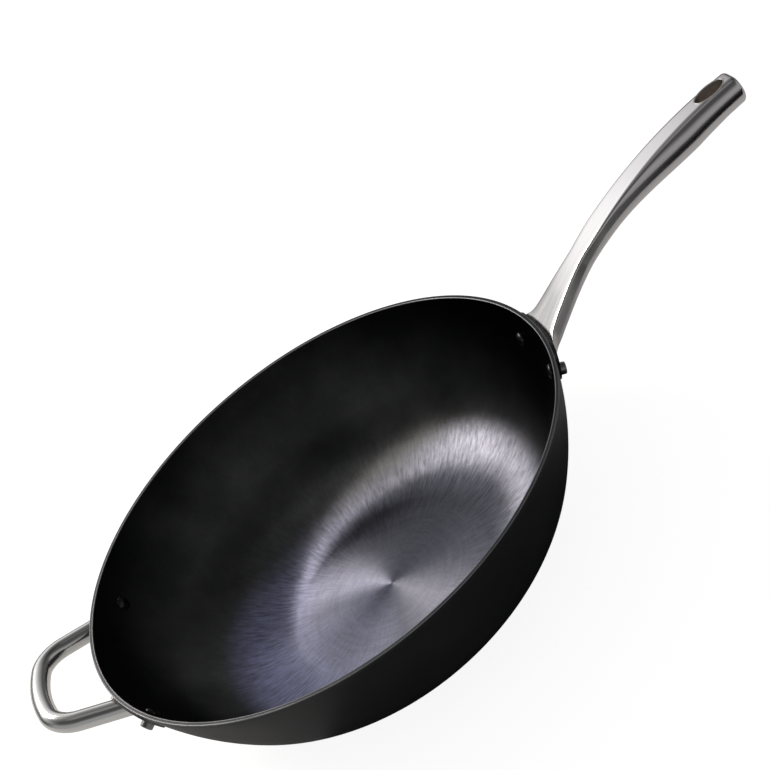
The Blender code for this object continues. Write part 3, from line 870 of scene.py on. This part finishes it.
def make_liner():
    """Rings go round the tube's own section: outer wall, lip, bore and foot."""
    lip_parts, foot_swell, foot_drop = 6, 0.8, 0.5
    bore_levels = (0.04, 0.08, 0.5, 1.0)
    matrix = hole_frame()
    hole_run = HANDLE_LENGTH - HOLE_FROM_END
    bore = hole_outline()
    wall = hole_outline(LINER_WALL)
    floor_levels = [belly_height(hole_run + point.x, point.y) + LIP_HEIGHT for point in wall]
    shape = bmesh.new()
    lip = shape.verts.layers.float.new("lip")
    rows = []

    def add_row(share, lift, deep, bright):
        """One ring: its share from bore to wall, its lift, its share of the depth."""
        row = []
        for inner, outer, floor_level in zip(bore, wall, floor_levels):
            lifted = inner.lerp(outer, share) + Vector((0.0, 0.0, floor_level * deep + lift))
            vert = shape.verts.new(matrix @ lifted)
            vert[lip] = bright
            row.append(vert)
        rows.append(row)

    add_row(1.0, 0.0, 1.0, 0.0)
    for i in range(lip_parts + 1):
        angle = math.pi * i / lip_parts
        add_row(0.5 + 0.5 * math.cos(angle), LIP_HEIGHT * (math.sin(angle) - 1.0), 0.0, 1.0)
    for deep in bore_levels:
        add_row(0.0, -LIP_HEIGHT, deep, 0.0)
    for i in range(1, lip_parts):
        angle = math.pi * i / lip_parts
        drop = LIP_HEIGHT * (math.sin(angle) * foot_swell + foot_drop)
        add_row(0.5 - 0.5 * math.cos(angle), -drop, 1.0, 1.0)
    for a, b in zip(rows, rows[1:] + rows[:1]):
        for i in range(HOLE_PARTS):
            j = (i + 1) % HOLE_PARTS
            shape.faces.new((a[i], a[j], b[j], b[i]))
    bmesh.ops.recalc_face_normals(shape, faces=shape.faces)
    return add_piece("hang_hole_tube", mesh_from("hang_hole_tube", shape), make_liner_finish())


liner = make_liner()
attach(liner, "root")
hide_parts("hang_hole_liner")


# Ears of the helper handle. Two short strips of the same sheet as the bracket,
# one behind each leg, bent to the wall and riveted on.

ear_sheet = make_sheet_finish("ear_sheet", (0.26, 0.26, 0.265))
dress_node("helper_ear_left", ear_sheet)
dress_node("helper_ear_right", ear_sheet)


# Helper handle. One round steel bar bent to a loop with two wide corners and a
# bowed outer side, polished, its ends welded to the ears.

BAR_RADIUS = 0.00585
LEG_DROP = 0.0108
LEG_SPACING = 0.0825
LEG_REACH = 0.0306
CORNER_SPACING = 0.0683
CORNER_RADIUS = 0.0214
BAR_BOW = 0.00628
LOOP_RISE = 0.28
LOOP_PARTS = (14, 36, 14)
WELD_DEPTH = 0.0008


def loop_line():
    """Centre line of the loop: distance from the leg roots, and sideways place."""
    half_corner = CORNER_SPACING / 2
    bow_radius = (half_corner ** 2 + BAR_BOW ** 2) / (2.0 * BAR_BOW)
    bow_centre = Vector((LEG_REACH + BAR_BOW - bow_radius, 0.0))
    root = Vector((0.0, LEG_SPACING / 2))
    leg = (Vector((LEG_REACH, half_corner)) - root).normalized()
    inward = Vector((leg.y, -leg.x))
    base = root + inward * CORNER_RADIUS - bow_centre
    along = base.dot(leg)
    reach = math.sqrt(along ** 2 - base.length_squared + (bow_radius - CORNER_RADIUS) ** 2) - along
    end_of_leg = root + leg * reach
    centre = end_of_leg + inward * CORNER_RADIUS
    arm = end_of_leg - centre
    sweep = arm.angle_signed(centre - bow_centre)
    leg_parts, corner_parts, bow_parts = LOOP_PARTS
    half = [root.lerp(end_of_leg, i / leg_parts) for i in range(leg_parts)]
    for i in range(corner_parts + 1):
        half.append(centre + Matrix.Rotation(-sweep * i / corner_parts, 2) @ arm)
    bow_end = math.atan2(centre.y, centre.x - bow_centre.x)
    for i in range(1, bow_parts + 1):
        angle = bow_end * (1.0 - i / bow_parts)
        half.append(bow_centre + Vector((math.cos(angle), math.sin(angle))) * bow_radius)
    return half + [Vector((point.x, -point.y)) for point in reversed(half[:-1])]


def make_helper_loop():
    """The bar along its centre line, its two ends cut to sit in the ears."""
    sides = 48
    out = Vector((-1.0, 0.0, LOOP_RISE)).normalized()
    up = Vector((LOOP_RISE, 0.0, 1.0)).normalized()
    stretch = math.sqrt(1.0 + LOOP_RISE ** 2)
    start = Vector((-RIM_RADIUS, 0.0, BOWL_HEIGHT - LEG_DROP))
    path = [start + out * point.x * stretch + Vector((0.0, point.y, 0.0))
            for point in loop_line()]
    rings = []
    travelled = 0.0
    last = len(path) - 1
    for i, point in enumerate(path):
        direction = (path[min(i + 1, last)] - path[max(i - 1, 0)]).normalized()
        across = direction.cross(up)
        travelled += (point - path[max(i - 1, 0)]).length
        ring = []
        for k in range(sides):
            angle = 2.0 * math.pi * k / sides
            edge = point + (across * math.cos(angle) + up * math.sin(angle)) * BAR_RADIUS
            if i in (0, last):
                back = -direction if i == 0 else direction
                edge += back * run_back(edge, back, SEAT - WELD_DEPTH)
            ring.append(edge)
        rings.append((travelled, ring))
    return add_piece("helper_handle_bar", swept_mesh("helper_handle_bar", rings),
                     make_steel("bar_steel", (0.77, 0.765, 0.76), roughness=0.13, lines=12.0))


helper_bar = make_helper_loop()
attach(helper_bar, "root")
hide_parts("helper_loop")


# Rivets. Four of solid steel: a cylindrical head outside on the sheet, and a low
# dome set inside, which was blackened together with the bowl.

RIVET_DROP = 0.0187
SHANK_RADIUS = 0.0025
DOME_RADIUS = 0.0047
DOME_HEIGHT = 0.0020
HEAD_RADIUS = 0.0037
HEAD_HEIGHT = 0.0034
HEAD_ROUNDING = 0.0007
HEAD_DISH = 0.00015
HALFWAY_DISH = 0.00005
LONG_RIVET_SPACING = 0.047
HELPER_RIVET_SPACING = 0.1146


def make_rivet_finish(name, dark, bright, roughness):
    """Steel with fine dark and pale spots, the pale ones a little rougher."""
    material, tree, shader = new_finish(name, roughness, 1.0)
    place = add_node(tree, "TexCoord").outputs["Object"]
    spots = noise(tree, place, scale=500.0, detail=4.0)
    tree.links.new(blend(tree, spots, dark, bright), shader.inputs["Base Color"])
    tree.links.new(grade(tree, spots, 0.3, 0.7, roughness - 0.06, roughness + 0.1),
                   shader.inputs["Roughness"])
    bump(tree, shader, spots, depth=0.00004)
    return material


def rivet_mesh(name):
    """Rivet along local Z, its zero on the wall's outer face."""
    head_finish, dome_finish = 0, 1
    corner_parts, dome_parts, round_parts = 5, 10, 40
    level = BOWL_HEIGHT - RIVET_DROP
    inside = wall_thickness(turn_at_height(level)) + CLEARANCE
    top = SEAT + HEAD_HEIGHT
    profile = [(0.0, top - HEAD_DISH, head_finish),
               (HEAD_RADIUS / 2, top - HALFWAY_DISH, head_finish)]
    for i in range(corner_parts + 1):
        angle = math.pi / 2 * i / corner_parts
        profile.append((HEAD_RADIUS - HEAD_ROUNDING * (1.0 - math.sin(angle)),
                        top - HEAD_ROUNDING * (1.0 - math.cos(angle)), head_finish))
    profile += [(HEAD_RADIUS, SEAT, head_finish), (SHANK_RADIUS, SEAT, head_finish)]
    profile.append((SHANK_RADIUS, -inside, dome_finish))
    for i in range(dome_parts + 1):
        angle = math.pi / 2 * i / dome_parts
        profile.append((DOME_RADIUS * math.cos(angle) if i < dome_parts else 0.0,
                        -inside - DOME_HEIGHT * math.sin(angle), dome_finish))
    return turned_mesh(name, profile, round_parts)


def wall_place(azimuth, height):
    """Matrix on the wall's outer face, local Z along the outward normal."""
    turn = turn_at_height(height)
    radius, level = wall_point(turn)
    around = Vector((math.cos(azimuth), math.sin(azimuth), 0.0))
    normal = around * math.sin(turn) - Vector((0.0, 0.0, math.cos(turn)))
    along = Vector((0.0, 0.0, 1.0)).cross(around)
    matrix = Matrix((along, normal.cross(along), normal)).transposed().to_4x4()
    matrix.translation = around * radius + Vector((0.0, 0.0, level))
    return matrix


def make_rivets():
    """Two for each handle, at one height and square to the wall."""
    height = BOWL_HEIGHT - RIVET_DROP
    radius = wall_point(turn_at_height(height))[0]
    long_turn = math.asin(LONG_RIVET_SPACING / 2 / radius)
    helper_turn = math.asin(HELPER_RIVET_SPACING / 2 / radius)
    head = make_rivet_finish("rivet_head_steel", dark=(0.20, 0.20, 0.205),
                             bright=(0.42, 0.42, 0.43), roughness=0.34)
    dome = make_rivet_finish("blackened_rivet", dark=(0.030, 0.030, 0.032),
                             bright=(0.060, 0.060, 0.064), roughness=0.22)
    for node, azimuth in (("long_handle_rivet_left", long_turn),
                          ("long_handle_rivet_right", -long_turn),
                          ("helper_rivet_left", math.pi - helper_turn),
                          ("helper_rivet_right", math.pi + helper_turn)):
        rivet = add_piece(node + "_solid", rivet_mesh(node + "_solid"), head, dome)
        rivet.matrix_world = wall_place(azimuth, height)
        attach(rivet, "root")
        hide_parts(node)


make_rivets()


# Floor. A wide pale board, painted matt, on which the wok stands. It keeps the
# wok's shadow, soft and faint.

FLOOR_REACH = 6.0
FLOOR_LEVEL = -0.0002
FLOOR_GLOW = 1.5
GLOW_SEEN = 0.60
GLOW_MIRRORED = 0.02


def ray_kinds(tree):
    """1 for a ray from the camera, else 0, and 1 for one from metal or glass, else 0."""
    path = add_node(tree, "LightPath").outputs
    mirrored = larger(tree, path["Is Glossy Ray"], path["Is Transmission Ray"])
    return path["Is Camera Ray"], mirrored


def make_floor_finish():
    """Pale paint; part of it glows, most for the camera, so the shadow stays faint."""
    material, tree, shader = new_finish("pale_floor", 0.9, 0.0, specular=0.1)
    shader.inputs["Base Color"].default_value = (0.80, 0.80, 0.80, 1.0)
    seen, mirrored = ray_kinds(tree)
    share = larger(tree, multiplied(tree, mirrored, GLOW_MIRRORED),
                   multiplied(tree, seen, GLOW_SEEN))
    glow = add_node(tree, "Emission", {"Color": (1.0, 1.0, 1.0, 1.0),
                                       "Strength": FLOOR_GLOW}).outputs[0]
    mixed = add_node(tree, "MixShader", {0: share, 1: shader.outputs[0], 2: glow}).outputs[0]
    tree.links.new(mixed, tree.nodes["Material Output"].inputs["Surface"])
    return material


def make_floor():
    shape = bmesh.new()
    bmesh.ops.create_grid(shape, x_segments=2, y_segments=2, size=FLOOR_REACH)
    mesh = mesh_from("floor", shape)
    mesh.materials.append(make_floor_finish())
    floor = bpy.data.objects.new("floor", mesh)
    floor.location.z = FLOOR_LEVEL
    scene.collection.objects.link(floor)
    return floor


floor = make_floor()


# Key lamp. One warm lamp with a wide soft face, behind the left of the wok. It
# makes the bright crescent on the knuckle and the bow-tie on the floor inside.

LAMP_AIM = Vector((0.089, 0.056, 0.013))
LAMP_SIDE = Vector((-0.557, 0.510, 0.655)).normalized()
LAMP_DISTANCE = 1.2
LAMP_WIDTH = 0.54
LAMP_HEIGHT = 0.46
LAMP_POWER = 5.9
LAMP_COLOR = (1.0, 0.94, 0.84)


def make_key_lamp():
    """Soft lamp that faces the wok's floor from behind its left."""
    data = bpy.data.lights.new("key_lamp", "AREA")
    data.shape = "RECTANGLE"
    data.size = LAMP_WIDTH
    data.size_y = LAMP_HEIGHT
    data.energy = LAMP_POWER
    data.color = LAMP_COLOR
    lamp = bpy.data.objects.new("key_lamp", data)
    lamp.location = LAMP_AIM + LAMP_SIDE * LAMP_DISTANCE
    lamp.rotation_euler = LAMP_SIDE.to_track_quat("Z", "Y").to_euler()
    scene.collection.objects.link(lamp)


make_key_lamp()


# Room. Even white light all round. In metal it shows as a soft white field behind
# and above the wok, grey walls in front and a darker ceiling over the camera.

FIELD_MIDDLE = Vector((-0.37, 0.775, 0.515)).normalized()
ROOM_LIGHT = 0.36
BACKDROP_WHITE = 1.0


def pick(tree, share, first, second):
    """Level between two others."""
    return add_node(tree, "Mix", {"Factor": share, 2: first, 3: second},
                    data_type="FLOAT").outputs[0]


def make_room():
    """White for the camera, even light for what is matt, field and walls for metal."""
    world = bpy.data.worlds.new("studio")
    world.use_nodes = True
    scene.world = world
    tree = world.node_tree
    direction = add_node(tree, "TexCoord").outputs["Generated"]
    toward = add_node(tree, "SeparateXYZ", {0: direction}).outputs
    facing = add_node(tree, "VectorMath", {0: direction, 1: FIELD_MIDDLE},
                      operation="DOT_PRODUCT").outputs["Value"]
    field = levels(tree, facing, ((0.45, 0.08), (0.64, 0.28), (0.80, 0.46), (0.87, 0.72),
                                  (0.93, 0.98), (0.96, 1.1), (0.985, 1.4)))
    height = levels(tree, toward["Z"], ((0.24, 0.28), (0.34, 0.76), (0.41, 1.0), (0.60, 1.0),
                                        (0.74, 0.5)))
    walls = levels(tree, toward["Z"], ((0.0, 0.34), (0.22, 0.38), (0.42, 0.28), (0.62, 0.08),
                                       (0.90, 0.08), (0.99, 0.30)))
    front = grade(tree, toward["Y"], -0.1, 0.25, 1.0, 0.3)
    level = larger(tree, multiplied(tree, field, height), multiplied(tree, walls, front))
    seen, mirrored = ray_kinds(tree)
    strength = pick(tree, seen, pick(tree, mirrored, ROOM_LIGHT, level), BACKDROP_WHITE)
    background = tree.nodes["Background"]
    background.inputs["Color"].default_value = (1.0, 1.0, 1.0, 1.0)
    tree.links.new(strength, background.inputs["Strength"])


make_room()


# Dark card. A matt black card laid on the floor in front and to the right, a
# painted shadow of the wok. Only reflections see it; it darkens the lower side of
# the handle and of the bowl.

CARD_CORNERS = ((-0.08, -0.09), (-0.08, -0.30), (0.20, -0.62), (0.40, -1.10), (0.90, -1.10),
                (0.90, -0.10), (0.30, -0.115), (0.25, -0.14), (0.20, -0.08), (0.175, 0.02),
                (0.0, -0.08))
CARD_LEVEL = 0.0001


def make_painted_shadow_card():
    """The painted shadow card, with a painted grey glow in a strip beside the handle's foot and
    towards its front end.
    """
    shape = bmesh.new()
    shape.faces.new([shape.verts.new((x, y, 0.0)) for x, y in CARD_CORNERS])
    mesh = mesh_from("painted_shadow_card", shape)
    material, tree, shader = new_finish("painted_shadow_black", 0.9, 0.0, specular=0.0)
    # Painted shadow: the card is near black where the wok's shadow lies on the floor.
    shader.inputs["Base Color"].default_value = (0.01, 0.01, 0.01, 1.0)
    place = add_node(tree, "TexCoord").outputs["Object"]
    lies = add_node(tree, "SeparateXYZ", {0: place}).outputs
    # Painted glow: the card lightens at the soft edge of the painted shadow beside the handle's
    # foot, and towards its front end.
    shadow_edge_glow = levels(tree, lies["X"], ((0.16, 0.0), (0.24, 0.14), (0.265, 0.09), (0.285, 0.02),
                                    (0.305, 0.004)))
    front = grade(tree, lies["Y"], -0.80, -0.28, 0.13, 0.0)
    tree.links.new(larger(tree, shadow_edge_glow, front), shader.inputs["Emission Color"])
    shader.inputs["Emission Strength"].default_value = 1.0
    mesh.materials.append(material)
    card = bpy.data.objects.new("painted_shadow_card", mesh)
    card.location.z = CARD_LEVEL
    card.visible_camera = False
    card.visible_diffuse = False
    card.visible_shadow = False
    scene.collection.objects.link(card)
    return card


card = make_painted_shadow_card()
